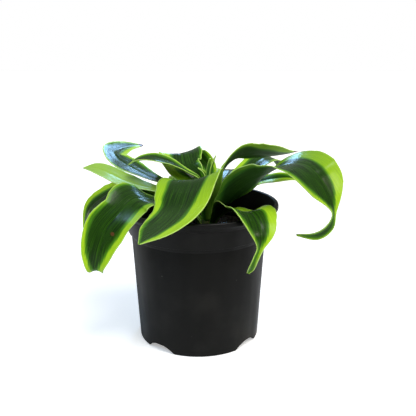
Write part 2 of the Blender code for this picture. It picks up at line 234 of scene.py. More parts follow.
inner_lip = LIP_RADIUS - LIP_WIDTH
lip_centre_z = POT_HEIGHT - LIP_ROUNDING
lip_foot_z = POT_HEIGHT - LIP_HEIGHT
soft_centre = (LIP_RADIUS - COLLAR_SOFTNESS, lip_foot_z + COLLAR_SOFTNESS)
wall_slope = (WALL_TOP_RADIUS - FOOT_RADIUS) / (COLLAR_Z - COLLAR_STEP)
profile = [(0.0, WALL), (FOOT_RADIUS - WALL, WALL)]
profile.append((WALL_TOP_RADIUS - WALL, COLLAR_Z - COLLAR_STEP))
profile.append((COLLAR_RADIUS - WALL, COLLAR_Z))
profile.append((FLARE_RADIUS - WALL, FLARE_Z))
profile.extend(arc((inner_lip + LIP_ROUNDING, lip_centre_z), LIP_ROUNDING, 180, 90, ROUND_STEPS))
profile.extend(arc((LIP_RADIUS - LIP_ROUNDING, lip_centre_z), LIP_ROUNDING, 90, 0, ROUND_STEPS))
profile.extend(arc(soft_centre, COLLAR_SOFTNESS, 0, -90, SOFT_STEPS))
profile.append((LIP_RADIUS - LIP_OVERHANG, lip_foot_z))
profile.append((FLARE_RADIUS, FLARE_Z))
profile.extend(arc((COLLAR_RADIUS - COLLAR_SOFTNESS, COLLAR_Z), COLLAR_SOFTNESS, 0, -80, SOFT_STEPS))
profile.append((WALL_TOP_RADIUS, COLLAR_Z - COLLAR_STEP))
for offset, depth in ((1.0, 0.0), (0.4, 0.8), (-0.4, 0.8), (-1.0, 0.0)):
    z = STACKING_LINE_Z + offset * STACKING_LINE_WIDTH
    radius = FOOT_RADIUS + wall_slope * z - depth * STACKING_LINE_DEPTH
    profile.append((radius, z))
profile.extend(arc((FOOT_RADIUS - FOOT_ROUNDING, FOOT_ROUNDING), FOOT_ROUNDING, 0, -90, ROUND_STEPS))
profile.append((0.0, 0.0))
pot_shell = notched(spun("pot_shell", profile, POT_SEGMENTS))
pot_shell.data.shade_smooth()
pot_shell.data.set_sharp_from_angle(angle=SHARP_ANGLE)
pot_shell.data.materials.append(pot_finish)
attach(pot_shell, "root")
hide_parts("pot")

# Soil
# A moist peat mix fills the pot to a little under the collar, lightly mounded round
# the cane, and stops at the drain notches. Loose crumbs and bits of bark lie on it.
soil_low, soil_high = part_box("soil")
SOIL_RADIUS = soil_high.x
SOIL_FLOOR = soil_low.z
SOIL_EDGE_Z = 112.0 * MM
SOIL_MOUND = 4.0 * MM
SOIL_CLEARANCE = 0.3 * MM
SOIL_FOOT_RADIUS = FOOT_RADIUS - WALL - SOIL_CLEARANCE
SOIL_RINGS = 34
SOIL_SEGMENTS = 128
SOIL_ROUGHNESS = 1.6 * MM
SOIL_LUMPS_PER_METRE = 90.0
# Painted shade: the peat and bark colours hold their own dark tone with painted shade on top, darkened to
# stand for the deep shade inside the pot.
SHADED_DARK_PEAT = (0.004, 0.003, 0.002)
SHADED_PALE_PEAT = (0.022, 0.014, 0.008)
SHADED_DARK_BARK = (0.012, 0.007, 0.004)
SHADED_PALE_BARK = (0.06, 0.034, 0.018)
CRUMB_FIELD_RADIUS = 64.0 * MM
CRUMB_FIELD_MARGIN = 4.0 * MM
CRUMB_FIELD_STEPS = 40

soil_finish, tree, shader = new_finish("Peat mix")
place = put(tree, "ShaderNodeTexCoord").outputs["Object"]
clods = put(tree, "ShaderNodeTexNoise", {"Vector": place, "Scale": 160.0, "Detail": 6.0}).outputs["Fac"]
fibres = put(tree, "ShaderNodeTexNoise", {"Vector": place, "Scale": 900.0, "Detail": 4.0}).outputs["Fac"]
peat_colour = blend_colour(tree, spread(tree, clods, 0.35, 0.7), SHADED_DARK_PEAT, SHADED_PALE_PEAT)
tree.links.new(peat_colour, shader.inputs["Base Color"])
tree.links.new(spread(tree, fibres, 0.3, 0.7, 0.8, 0.98), shader.inputs["Roughness"])
bump = put(tree, "ShaderNodeBump", {"Height": fibres, "Strength": 0.6, "Distance": 0.6 * MM})
tree.links.new(bump.outputs[0], shader.inputs["Normal"])


def soil_height(x, y):
    """The lumpy top of the soil over a point."""
    share = min(math.hypot(x, y) / SOIL_RADIUS, 1.0)
    lumps = noise.fractal(Vector((x, y, 0.0)) * SOIL_LUMPS_PER_METRE, 1.0, 2.2, 4)
    return SOIL_EDGE_Z + SOIL_MOUND * (1.0 - share**2) + lumps * SOIL_ROUGHNESS * (1.0 - share**8)


profile = [(SOIL_RADIUS * i / SOIL_RINGS, SOIL_EDGE_Z) for i in range(SOIL_RINGS + 1)]
profile.extend([(SOIL_FOOT_RADIUS, SOIL_FLOOR), (0.0, SOIL_FLOOR)])
soil_bed = notched(spun("soil_bed", profile, SOIL_SEGMENTS))
for vertex in soil_bed.data.vertices:
    if vertex.co.z > SOIL_EDGE_Z - MM:
        vertex.co.z = soil_height(vertex.co.x, vertex.co.y)
soil_bed.data.shade_smooth()
soil_bed.data.set_sharp_from_angle(angle=SHARP_ANGLE)
soil_bed.data.materials.append(soil_finish)
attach(soil_bed, "root")
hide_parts("soil")


def crumb_scatter():
    """Geometry Nodes: lumpy crumbs lying at random on a surface."""
    tree = bpy.data.node_groups.new("Crumb scatter", "GeometryNodeTree")
    face = tree.interface
    face.new_socket("Ground", in_out="INPUT", socket_type="NodeSocketGeometry")
    for name in ("Density", "Smallest", "Largest", "Flatness", "Unevenness"):
        face.new_socket(name, in_out="INPUT", socket_type="NodeSocketFloat")
    face.new_socket("Seed", in_out="INPUT", socket_type="NodeSocketInt")
    face.new_socket("Finish", in_out="INPUT", socket_type="NodeSocketMaterial")
    face.new_socket("Crumbs", in_out="OUTPUT", socket_type="NodeSocketGeometry")
    values = put(tree, "NodeGroupInput").outputs
    inputs = {"Mesh": values["Ground"], "Density": values["Density"], "Seed": values["Seed"]}
    spots = put(tree, "GeometryNodeDistributePointsOnFaces", inputs)
    turn = put(tree, "FunctionNodeRandomValue", {"Seed": values["Seed"]}, data_type="FLOAT_VECTOR")
    turn.inputs["Max"].default_value = (2 * math.pi,) * 3
    size = put(tree, "FunctionNodeRandomValue", {"Seed": values["Seed"]}, data_type="FLOAT")
    sizes = {s.name: s for s in size.inputs if s.enabled}
    tree.links.new(values["Smallest"], sizes["Min"])
    tree.links.new(values["Largest"], sizes["Max"])
    width = next(s for s in size.outputs if s.enabled)
    flat = calc(tree, "MULTIPLY", width, values["Flatness"])
    scale = put(tree, "ShaderNodeCombineXYZ", {"X": width, "Y": flat, "Z": flat})
    lump = put(tree, "GeometryNodeMeshIcoSphere", {"Radius": 0.5, "Subdivisions": 2})
    turned = next(s for s in turn.outputs if s.enabled)
    inputs = {"Points": spots.outputs["Points"], "Instance": lump.outputs["Mesh"]}
    inputs.update({"Rotation": turned, "Scale": scale.outputs[0]})
    laid = put(tree, "GeometryNodeInstanceOnPoints", inputs)
    real = put(tree, "GeometryNodeRealizeInstances", {"Geometry": laid.outputs[0]})
    rough = put(tree, "ShaderNodeTexNoise", {"Scale": 420.0, "Detail": 2.0})
    inputs = {0: rough.outputs["Color"], 1: (0.5,) * 3}
    centred = put(tree, "ShaderNodeVectorMath", inputs, operation="SUBTRACT")
    inputs = {0: centred.outputs[0], "Scale": values["Unevenness"]}
    push = put(tree, "ShaderNodeVectorMath", inputs, operation="SCALE")
    broken = put(tree, "GeometryNodeSetPosition", {"Geometry": real.outputs[0], "Offset": push.outputs[0]})
    inputs = {"Geometry": broken.outputs[0], "Material": values["Finish"]}
    dressed = put(tree, "GeometryNodeSetMaterial", inputs)
    put(tree, "NodeGroupOutput", {"Crumbs": dressed.outputs[0]})
    return tree


def grown(obj, tree, inputs):
    """Runs a Geometry Nodes tree on the object, with inputs by name, as a plain mesh."""
    modifier = obj.modifiers.new(tree.name, "NODES")
    modifier.node_group = tree
    for socket in tree.interface.items_tree:
        if socket.name in inputs:
            modifier[socket.identifier] = inputs[socket.name]
    return settle(obj)


bark_finish, tree, shader = new_finish("Bark bits")
place = put(tree, "ShaderNodeTexCoord").outputs["Object"]
strands = put(tree, "ShaderNodeTexNoise", {"Vector": place, "Scale": 300.0, "Detail": 5.0}).outputs["Fac"]
# Like the peat colours, the bark colours carry painted shade.
bark_colour = blend_colour(tree, spread(tree, strands, 0.3, 0.7), SHADED_DARK_BARK, SHADED_PALE_BARK)
tree.links.new(bark_colour, shader.inputs["Base Color"])
tree.links.new(spread(tree, strands, 0.3, 0.7, 0.7, 0.95), shader.inputs["Roughness"])

# Each kind: finish, crumbs per square metre, smallest and largest width, flatness, seed.
CRUMBS = {
    "soil_crumbs": (soil_finish, 110000.0, 1.2 * MM, 3.6 * MM, 0.75, 3),
    "bark_bits": (bark_finish, 9000.0, 3.0 * MM, 8.0 * MM, 0.32, 8),
}
scatter = crumb_scatter()
for name, (finish, density, smallest, largest, flatness, seed) in CRUMBS.items():
    ground = bpy.data.meshes.new(name)
    points = []
    row = CRUMB_FIELD_STEPS + 1
    for i in range(row):
        for j in range(row):
            x = (2 * i / CRUMB_FIELD_STEPS - 1) * CRUMB_FIELD_RADIUS
            y = (2 * j / CRUMB_FIELD_STEPS - 1) * CRUMB_FIELD_RADIUS
            points.append((x, y, soil_height(x, y)))
    faces = []
    for i in range(CRUMB_FIELD_STEPS):
        for j in range(CRUMB_FIELD_STEPS):
            a = i * row + j
            if math.hypot(*points[a][:2]) < CRUMB_FIELD_RADIUS - CRUMB_FIELD_MARGIN:
                faces.append((a, a + row, a + row + 1, a + 1))
    ground.from_pydata(points, [], faces)
    crumbs = bpy.data.objects.new(name, ground)
    bpy.context.scene.collection.objects.link(crumbs)
    inputs = {"Density": density, "Smallest": smallest, "Largest": largest, "Flatness": flatness}
    inputs.update({"Unevenness": 0.5 * smallest, "Seed": seed, "Finish": finish})
    grown(crumbs, scatter, inputs)
    crumbs.data.shade_smooth()
    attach(crumbs, "root")

# Cane
# The short green stem that the leaves grow from. Old leaf scars ring it. Its foot
# stands in the soil.
crown_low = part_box("crown")[0]
CANE_X = 10.0 * MM
CANE_FOOT_RADIUS = 6.8 * MM
CANE_TOP_RADIUS = 4.2 * MM
CANE_TOP_Z = 163.0 * MM
CANE_ROUNDING = 2.0 * MM
SCAR_SPACING = 4.5 * MM
SCAR_HEIGHT = 0.35 * MM
SCAR_SHARPNESS = 6
CANE_RINGS = 110
CANE_SEGMENTS = 48
CORKY_BELOW_Z = 125.0 * MM
GREEN_ABOVE_Z = 150.0 * MM
CORK_COLOUR = (0.11, 0.085, 0.035)
STEM_COLOUR = (0.20, 0.30, 0.055)

cane_finish, tree, shader = new_finish("Green cane")
place = put(tree, "ShaderNodeTexCoord").outputs["Object"]
height = put(tree, "ShaderNodeSeparateXYZ", {0: place}).outputs["Z"]
corky = put(tree, "ShaderNodeTexNoise", {"Vector": place, "Scale": 220.0, "Detail": 5.0}).outputs["Fac"]
youth = spread(tree, calc(tree, "MULTIPLY_ADD", corky, 0.02, height), CORKY_BELOW_Z, GREEN_ABOVE_Z)
cane_colour = blend_colour(tree, youth, CORK_COLOUR, STEM_COLOUR)
tree.links.new(cane_colour, shader.inputs["Base Color"])
tree.links.new(spread(tree, corky, 0.3, 0.7, 0.5, 0.75), shader.inputs["Roughness"])
bump = put(tree, "ShaderNodeBump", {"Height": corky, "Strength": 0.3, "Distance": 0.4 * MM})
tree.links.new(bump.outputs[0], shader.inputs["Normal"])

profile = [(0.0, CANE_TOP_Z), (CANE_TOP_RADIUS - CANE_ROUNDING, CANE_TOP_Z)]
for i in range(CANE_RINGS + 1):
    z = CANE_TOP_Z - CANE_ROUNDING + (crown_low.z - CANE_TOP_Z + CANE_ROUNDING) * i / CANE_RINGS
    rise = min(max((CANE_TOP_Z - z) / (CANE_TOP_Z - SOIL_EDGE_Z), 0.0), 1.0)
    scar = SCAR_HEIGHT * abs(math.sin(math.pi * z / SCAR_SPACING)) ** SCAR_SHARPNESS
    profile.append((CANE_TOP_RADIUS + (CANE_FOOT_RADIUS - CANE_TOP_RADIUS) * rise + scar, z))
profile.append((0.0, crown_low.z))
cane = settle(spun("cane", profile, CANE_SEGMENTS))
cane.data.transform(Matrix.Translation((CANE_X, 0.0, 0.0)))
cane.data.shade_smooth()
cane.data.materials.append(cane_finish)
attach(cane, "root")
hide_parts("crown")

# Grown leaves
# Each leaf clasps the cane with a rolled foot, widens into a waved strap and droops to
# a point. Its glossy face is dark green between lime margins, with fine veins that run
# lengthwise. Its underside is duller and paler, and its dark band is lightened further
# with painted light shining through the blade.

# A leaf's stations are (reach, side, height, width, roll, cup). Reach is the way out
# from the cane's axis along the bearing, side the way to the left of it and height is
# above the ground, all in mm. Roll lifts the left margin and cup is the half angle of
# the channel, both in degrees. Waves are (height in mm, count, phase). Lime gives the
# width in mm of the left and right margin at some shares of the length. Brown is the
# length of a withered tip, and spot a scorched mark: (share of length, side, radius).
LEAVES = {
    "leaf_front": {
        "bearing": -115.0,
        "waves": (1.2, 2.5, 0.4),
        "lime": (
            (0.0, 5.0, 4.0),
            (0.35, 14.0, 10.0),
            (0.55, 15.5, 7.0),
            (0.72, 14.5, 4.0),
            (0.84, 12.0, 1.5),
            (0.93, 6.0, 0.6),
            (1.0, 0.5, 0.5),
        ),
        "stations": (
            (8.0, 0, 131, 11, 0, 60),
            (15, 3, 148, 21, 6, 50),
            (27, 6, 166, 42, 12, 36),
            (42, 3.5, 176, 68, 10, 20),
            (57, 4.5, 168.5, 64, 7, 18),
            (74, 6.5, 156, 55, 5, 14),
            (92, 6, 148.5, 50, 4, 12),
            (112, 1, 142, 36, 5, 12),
            (131, -4, 137, 2.5, 6, 10),
        ),
    },
    "leaf_front_left": {
        "bearing": -149.0,
        "waves": (1.2, 2.0, 1.2),
        "lime": (
            (0.0, 4.0, 2.0),
            (0.3, 7.5, 1.0),
            (0.45, 6.5, 0.8),
            (0.6, 5.5, 2.0),
            (0.8, 5.5, 4.2),
            (1.0, 4.0, 3.2),
        ),
        "spot": (0.67, 8.5, 2.2),
        "stations": (
            (8.6, 0, 119, 9, 0, 60),
            (18, 0, 129, 13, -4, 45),
            (38, 0, 144, 25, -2, 22),
            (62, 0, 153, 36, -6, 14),
            (83, 0, 158, 48, -24, 12),
            (99, 2, 147, 39, -34, 12),
            (112, -1, 133, 42, -42, 14),
            (120, -2, 117, 36, -48, 18),
            (124, -2, 103, 27, -52, 24),
            (125, -3, 93, 17, -54, 30),
            (120, -10, 89, 12, -54, 30),
            (114, -20, 92, 2.5, -54, 20),
        ),
    },
    "leaf_far_left_pale": {
        "bearing": 177.0,
        "waves": (0.8, 2.0, 0.0),
        "lime": ((0.0, 30.0, 30.0), (1.0, 30.0, 30.0)),
        "stations": (
            (8.0, 0, 142, 9, 0, 60),
            (16, 0, 151, 12, -4, 40),
            (34, 0, 154.5, 14, -6, 20),
            (57, 0, 157, 20, -9, 12),
            (86, 0, 165, 28, -13, 10),
            (105, 0, 174, 28, -15, 10),
            (118, 0, 178, 21, -14, 10),
            (129, 0, 178, 2.5, -10, 8),
        ),
    },
    "leaf_far_left_dark": {
        "bearing": 166.0,
        "waves": (1.0, 2.0, 2.0),
        "lime": ((0.0, 2.0, 4.0), (0.5, 2.0, 8.0), (0.8, 1.5, 6.0), (1.0, 1.0, 2.0)),
        "stations": (
            (8.2, 0, 127, 8, 0, 60),
            (20, 0, 134, 12, 0, 40),
            (40, 0, 137, 25, -6, 20),
            (62, 0, 143, 32, -12, 14),
            (82, 0, 151, 35, -20, 12),
            (99, 1, 150.5, 31, -28, 12),
            (116, 1, 143, 28, -36, 12),
            (134, 0, 127, 24, -42, 12),
            (142.5, 0, 105, 2.5, -46, 10),
        ),
    },
    "leaf_upper_left": {
        "bearing": 153.0,
        "waves": (0.8, 2.5, 0.8),
        "lime": ((0.0, 1.0, 1.0), (0.4, 0.8, 1.2), (0.55, 0.8, 3.0), (0.75, 1.5, 5.0), (1.0, 1.5, 4.0)),
        "brown": 7.0,
        "stations": (
            (7.6, 0, 147, 8, 0, 60),
            (14, 0, 155.5, 12, 0, 45),
            (34, 1, 158, 16, 0, 25),
            (60, 1.5, 160.5, 21, 0, 16),
            (77, 2, 166, 28, 0, 12),
            (96, 4, 174, 37, -1, 12),
            (109, 3, 180, 34, -2, 14),
            (118, -2, 185, 28, 2, 16),
            (124, -19, 186, 24, 8, 18),
            (126, -42, 186, 16, 10, 18),
            (122, -66, 184, 2.5, 10, 12),
        ),
    },
    "leaf_left_inner": {
        "bearing": 178.0,
        "waves": (0.6, 2.0, 0.5),
        "lime": ((0.0, 3.0, 1.0), (0.4, 6.0, 1.5), (0.8, 4.0, 1.5), (1.0, 1.0, 1.0)),
        "stations": (
            (7.2, 0, 157, 6, 0, 60),
            (10, 0, 168, 8, 0, 45),
            (20, 0, 174, 14, 0, 36),
            (30, 0, 179, 20, -3, 32),
            (42, 0, 184, 25, -5, 30),
            (57, 0, 188, 25, -6, 28),
            (71, 0, 187, 18, -5, 28),
            (82, 0, 182, 2.5, 0, 15),
        ),
    },
    "leaf_back_middle": {
        "bearing": 112.0,
        "waves": (0.8, 2.5, 0.0),
        "lime": ((0.0, 4.0, 1.0), (0.3, 9.0, 1.0), (0.6, 13.0, 1.2), (1.0, 2.0, 1.0)),
        "stations": (
            (7.0, 0, 152, 5, 0, 60),
            (10, 4, 162, 10, 0, 45),
            (15, 11, 170, 28, 0, 30),
            (22, 17, 176, 37, 4, 22),
            (31, 17, 182, 43, 7, 20),
            (42, 15, 188, 47, 11, 22),
            (58, 13, 184, 41, 9, 18),
            (78, 10, 171, 27, 4, 14),
            (92, 8, 154, 2.5, 0, 10),
        ),
    },
    "leaf_back_inner": {
        "bearing": 90.0,
        "waves": (0.6, 2.0, 1.0),
        "lime": ((0.0, 1.0, 2.0), (0.5, 1.2, 3.0), (1.0, 0.8, 0.8)),
        "stations": (
            (6.2, -2, 163, 5, 0, 60),
            (9, -4, 168, 8, -10, 45),
            (16, -3, 172, 14, -22, 34),
            (26, 1, 178, 18, -32, 26),
            (36, 7, 183, 19, -38, 20),
            (45, 10, 185, 13, -40, 18),
            (52, 12, 184, 2.5, -36, 10),
        ),
    },
    "leaf_right_top": {
        "bearing": 22.0,
        "waves": (0.8, 2.5, 0.3),
        "lime": (
            (0.0, 2.0, 1.0),
            (0.35, 1.5, 1.2),
            (0.48, 1.5, 2.0),
            (0.6, 2.0, 6.5),
            (0.8, 2.0, 7.0),
            (1.0, 2.0, 1.5),
        ),
        "brown": 8.0,
        "stations": (
            (7.0, 0, 151, 7, 0, 60),
            (12, 0, 167, 10, -10, 50),
            (22, 0, 182, 21, -28, 40),
            (36, 0, 189.5, 29, -38, 32),
            (53, 0, 190.5, 31, -38, 26),
            (71, 0, 189, 31, -34, 22),
            (88, 0, 188, 22, -22, 20),
            (104, 0, 190, 2.5, -10, 15),
        ),
    },
    "leaf_right_behind": {
        "bearing": 44.0,
        "waves": (0.8, 2.0, 1.5),
        "lime": ((0.0, 3.0, 2.0), (0.4, 5.0, 2.5), (0.8, 5.0, 3.0), (1.0, 1.5, 1.5)),
        "stations": (
            (7.4, 0, 144, 10, 0, 60),
            (15, 0, 151, 14, 0, 40),
            (30, 0, 156, 20, 0, 24),
            (46, 0, 163, 24, 4, 16),
            (62, -1, 171, 28, 8, 14),
            (76, -2, 178, 32, 10, 14),
            (90, -2, 180, 31, 12, 14),
            (105, -1, 174, 24, 12, 14),
            (118, 0, 160, 2.5, 10, 10),
        ),
    },
    "leaf_right_low": {
        "bearing": 15.0,
        "waves": (0.8, 2.0, 0.6),
        "lime": ((0.0, 1.0, 3.0), (0.5, 1.5, 9.0), (0.85, 1.5, 7.0), (1.0, 1.0, 1.0)),
        "stations": (
            (7.6, 0, 137, 8, 0, 60),
            (16, 0, 145, 10, 0, 40),
            (30, 1, 150, 13, 0, 24),
            (44, 2, 156, 16, 2, 16),
            (58, 0, 162, 20, 6, 14),
            (72, -6, 166, 19, 10, 14),
            (84, -12, 167, 12, 10, 14),
            (93, -16, 165, 2.5, 8, 10),
        ),
    },
    "leaf_right_big": {
        "bearing": -24.0,
        "waves": (1.0, 3.0, 0.9),
        "lime": (
            (0.0, 4.0, 5.0),
            (0.25, 8.0, 4.0),
            (0.4, 12.0, 2.0),
            (0.55, 16.0, 2.6),
            (0.68, 11.0, 3.6),
            (0.78, 2.2, 0.8),
            (1.0, 1.2, 0.3),
        ),
        "stations": (
            (8.2, 0, 129, 11, 0, 60),
            (19, -1, 144, 24, -34, 50),
            (34, -3, 160, 39, -44, 40),
            (47, -3, 171, 44, -35, 32),
            (62, 1, 179, 53, -12, 24),
            (80, 3, 188.5, 60, 4, 18),
            (99, 0.5, 191, 57, 12, 12),
            (113, -4.5, 184.5, 54, 14, 12),
            (124, -2.5, 169, 42, 18, 14),
            (131, -1, 148, 7, 28, 18),
            (127, 0, 132, 9, 45, 30),
            (115, 0, 122, 9, 60, 30),
            (95, 0, 120, 2.5, 60, 20),
        ),
    },
    "leaf_right_front": {
        "bearing": -58.0,
        "waves": (1.0, 2.0, 2.2),
        "lime": (
            (0.0, 4.0, 1.0),
            (0.4, 10.0, 1.6),
            (0.55, 10.5, 1.6),
            (0.68, 6.5, 1.4),
            (0.8, 1.4, 0.3),
            (1.0, 1.2, 0.3),
        ),
        "stations": (
            (8.4, 0, 121, 9, 0, 60),
            (18, 0, 133, 14, -20, 40),
            (34, 0, 146, 28, -24, 24),
            (55, 1, 145, 37, -14, 22),
            (71, 4, 149, 47, -2, 22),
            (84, 3, 142, 38, 0, 18),
            (91, 1, 132, 25, 0, 18),
            (93, -2, 121, 8, 0, 26),
            (92, -6, 111, 6, 10, 40),
            (87, -7, 100, 6, 20, 40),
            (79, -5, 92, 2.5, 20, 20),
        ),
    },
    "leaf_back_right": {
        "bearing": 70.0,
        "waves": (1.0, 2.0, 0.2),
        "lime": ((0.0, 3.0, 3.0), (0.5, 6.0, 5.0), (1.0, 1.5, 1.5)),
        "stations": (
            (7.8, 0, 131, 8, 0, 60),
            (16, 0, 141, 11, 0, 40),
            (34, 0, 152, 25, -3, 24),
            (56, 0, 160, 33, -6, 16),
            (78, 0, 163, 36, -8, 12),
            (98, 0, 155, 30, -6, 12),
            (113, 0, 138, 20, -3, 12),
            (121, 0, 118, 2.5, 0, 10),
        ),
    },
    "leaf_back_low": {
        "bearing": 108.0,
        "waves": (1.0, 2.0, 1.1),
        "lime": ((0.0, 3.0, 3.0), (0.5, 7.0, 5.0), (1.0, 1.5, 1.5)),
        "stations": (
            (8.2, 0, 125, 8, 0, 60),
            (20, 0, 136, 13, 0, 40),
            (40, 0, 146, 27, 0, 20),
            (62, 0, 152, 36, 0, 14),
            (82, 0, 154, 38, 0, 12),
            (101, 0, 147, 32, 0, 12),
            (113, 0, 130, 21, 0, 12),
            (119, 0, 111, 2.5, 0, 10),
        ),
    },
}
RINGS = 110
COLUMNS = 28
THICKNESS = 0.7 * MM
NARROWEST = 1.5
FLATTEST = 2.0
WAVE_POWER = 2.5
WAVE_FADE = 0.7
MARGIN_LAG = 1.9
KEEL_DEPTH = 0.5 * MM
KEEL_SHARPNESS = -0.25
RIPPLE_HEIGHT = 0.5 * MM
RIPPLE_GRAIN = (0.09, 0.05, 1.7)
CRINKLE_HEIGHT = 1.1 * MM
CRINKLE_GRAIN = (9.0, 0.11, 3.3)
CRINKLE_POWER = 5.0
CRINKLED_HALF_MM = 15.0
CLASP_RINGS = 9
CLASP_STEP = 1.6 * MM
CLASP_DROP = 6.0 * MM
NO_WAVES = (0.0, 1.0, 0.0)
NO_SPOT = (0.0, 0.0, -9.0)
VEIN_GRAIN = (2.6, 0.03, 3.0)
TOOTH_GRAIN = (0.9, 0.015, 5.0)
DRIFT_GRAIN = (0.08, 0.03, 9.0)
SMUDGE_GRAIN = (0.12, 0.05, 7.0)
MARGIN_WANDER = 4.0
PALE_RIB = 0.14
DEAD_COLOUR = (0.11, 0.045, 0.015)
VEIN_DEPTH = 0.3 * MM


def smooth_value(values, knots, at):
    """Cubic through the values at the knots, with slopes taken from their neighbours."""
    last = len(knots) - 1
    k = 0
    while k < last - 1 and at > knots[k + 1]:
        k += 1

    def slope(i):
        before = max(i - 1, 0)
        after = min(i + 1, last)
        return (values[after] - values[before]) / (knots[after] - knots[before])

    span = knots[k + 1] - knots[k]
    t = (at - knots[k]) / span
    start = (2 * t**3 - 3 * t**2 + 1) * values[k] + (t**3 - 2 * t**2 + t) * span * slope(k)
    end = (3 * t**2 - 2 * t**3) * values[k + 1] + (t**3 - t**2) * span * slope(k + 1)
    return start + end


def midrib(name, leaf, rings):
    """The leaf's midrib as loose points, each with its own frame, width and cup."""
    bearing = math.radians(leaf["bearing"])
    outward = Vector((math.cos(bearing), math.sin(bearing), 0.0))
    across = Vector((-math.sin(bearing), math.cos(bearing), 0.0))
    foot = Vector((CANE_X, 0.0, 0.0))
    places = []
    for reach, side, height, *_ in leaf["stations"]:
        places.append(foot + (outward * reach + across * side + Vector((0.0, 0.0, height))) * MM)
    knots = [0.0]
    for a, b in zip(places, places[1:]):
        knots.append(knots[-1] + (b - a).length)
    widths, rolls, cups = list(zip(*leaf["stations"]))[3:]
    lime_knots, lime_lefts, lime_rights = zip(*leaf["lime"])
    length = knots[-1]
    stops = [length * i / rings for i in range(rings + 1)]
    points = [Vector([smooth_value([p[k] for p in places], knots, at) for k in range(3)]) for at in stops]
    sides, ups, shapes, limes = [], [], [], []
    for i, at in enumerate(stops):
        along = (points[min(i + 1, rings)] - points[max(i - 1, 0)]).normalized()
        across = (across - along * across.dot(along)).normalized()
        side = Matrix.Rotation(math.radians(smooth_value(rolls, knots, at)), 3, along) @ across
        width = max(smooth_value(widths, knots, at), NARROWEST) * MM
        cup = math.radians(max(smooth_value(cups, knots, at), FLATTEST))
        sides.append(side)
        ups.append(along.cross(side))
        shapes.append((width, cup, length))
        lime_left = smooth_value(lime_lefts, lime_knots, i / rings)
        limes.append((lime_left, smooth_value(lime_rights, lime_knots, i / rings), 0.0))
    for i in range(CLASP_RINGS):
        share = (1.0 - i / CLASP_RINGS) ** 2
        points[i] = points[i] - (outward * CLASP_STEP + Vector((0.0, 0.0, CLASP_DROP))) * share
    mesh = bpy.data.meshes.new(name)
    mesh.from_pydata(points, [], [])
    for label, rows in (("side", sides), ("up", ups), ("shape", shapes), ("limes", limes)):
        layer = mesh.attributes.new(label, "FLOAT_VECTOR", "POINT")
        layer.data.foreach_set("vector", [value for row in rows for value in row])
    return mesh


